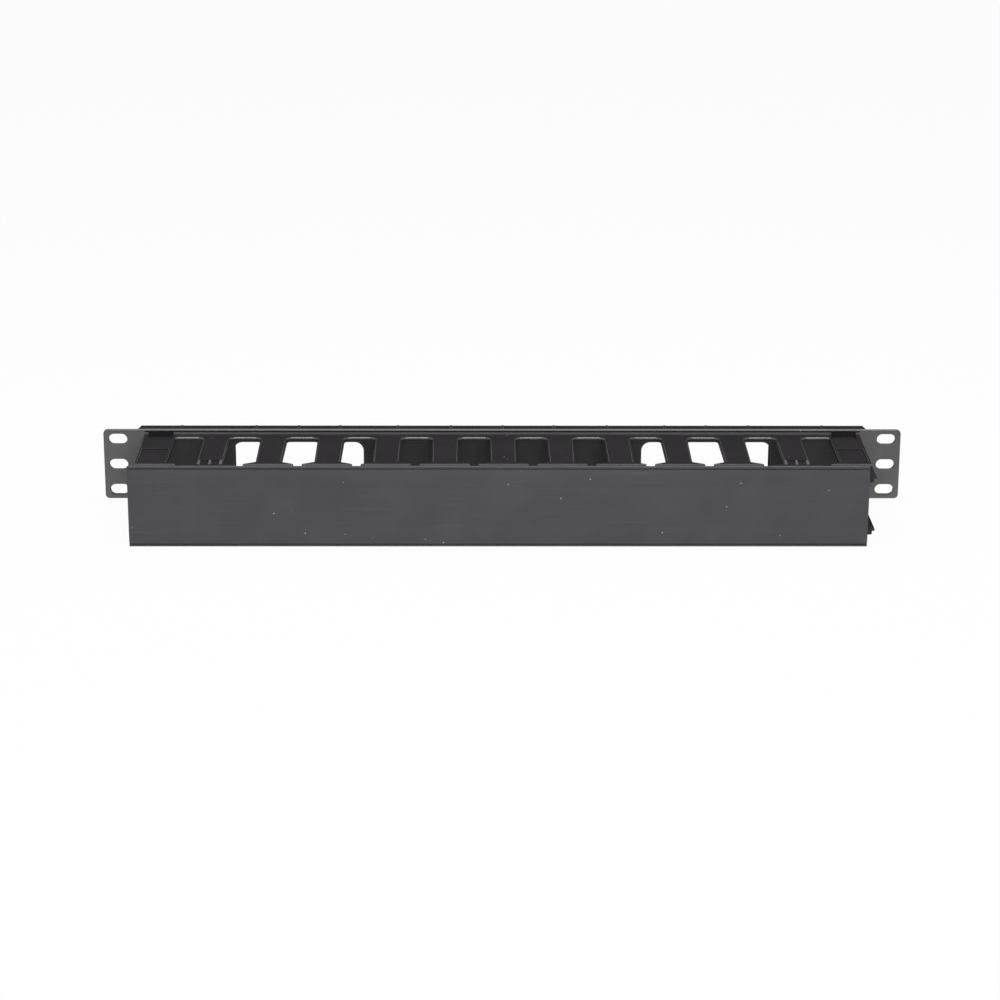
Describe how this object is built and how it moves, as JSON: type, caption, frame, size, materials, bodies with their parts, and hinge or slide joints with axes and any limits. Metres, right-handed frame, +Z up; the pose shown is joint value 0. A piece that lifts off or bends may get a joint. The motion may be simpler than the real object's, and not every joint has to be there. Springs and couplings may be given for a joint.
{
  "type": "horizontal cable manager",
  "caption": "Rack-mount horizontal cable manager, one unit high: a moulded base with slotted fingers and a front cover that hinges on the tips of the fingers.",
  "frame": {"origin": "middle of the six rack slots, on the face of the ears that lies against the rack rails", "axes": "+X along the unit to the right as seen from the front, +Y into the rack, +Z up"},
  "size_m": [0.4826, 0.0962, 0.0485],
  "materials": {
    "base_plastic": "black moulded plastic, satin on the fingers, finely textured on the ears",
    "cover_plastic": "black extruded plastic, matt, with a few specks of dust and light scuffs"
  },
  "bodies": {
    "base": {"base_panel": "base_plastic"},
    "cover": {"front_cover": "cover_plastic"}
  },
  "joints": [
    {"name": "cover_hinge", "type": "hinge", "parent": "base", "child": "cover", "pos_m": [0, -0.08065, -0.01598], "axis": [1, 0, 0], "range_deg": [0, 95]}
  ]
}
